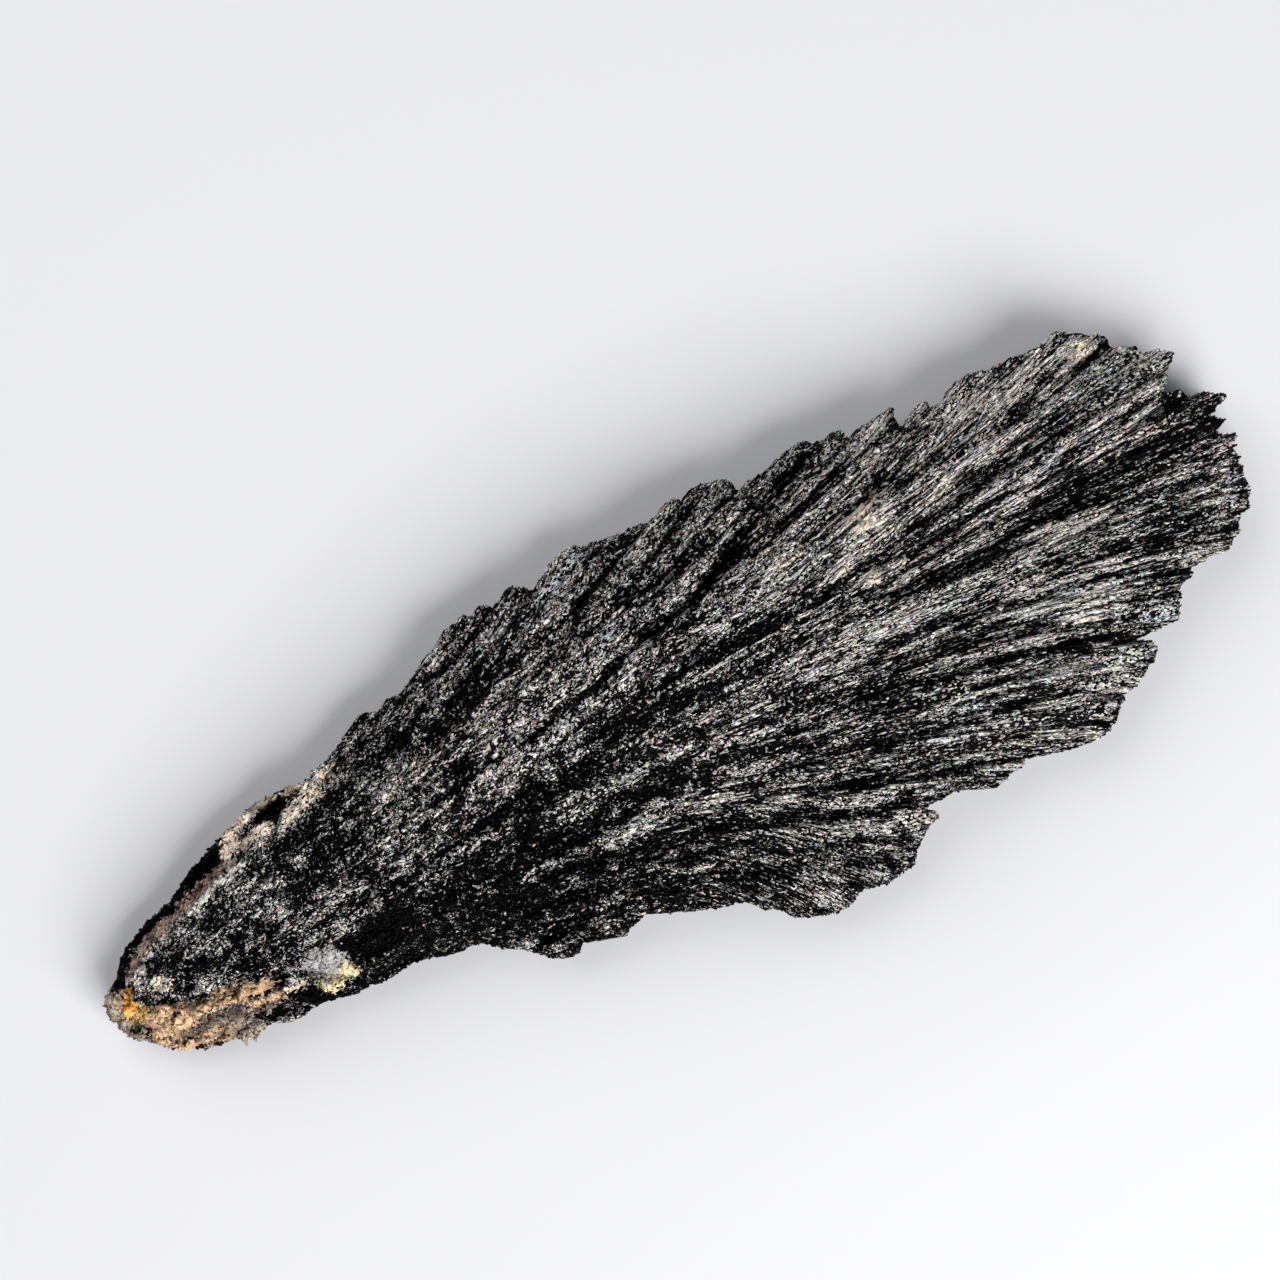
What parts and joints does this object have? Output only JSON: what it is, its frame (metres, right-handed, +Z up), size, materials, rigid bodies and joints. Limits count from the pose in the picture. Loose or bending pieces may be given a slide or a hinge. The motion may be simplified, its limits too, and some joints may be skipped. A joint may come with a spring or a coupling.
{
  "type": "black kyanite blade cluster",
  "caption": "Fan of fused black kyanite blades, lying on its back: a narrow weathered root that spreads to a ragged broken edge; an ornament or collector's specimen.",
  "frame": {"origin": "middle of the bounding box, on the plane that the cluster rests on", "axes": "+X along the growth axis, from the weathered root to the fan's broken edge; +Y across the fan, towards the edge with the long teeth; +Z up, out of the broad front face"},
  "size_m": [0.128, 0.0474, 0.0169],
  "materials": {
    "black_kyanite": "black to charcoal blades with a silvery gloss, tan to rusty weathering at the root"
  },
  "bodies": {
    "root": {"kyanite_cluster": "black_kyanite"}
  },
  "joints": []
}
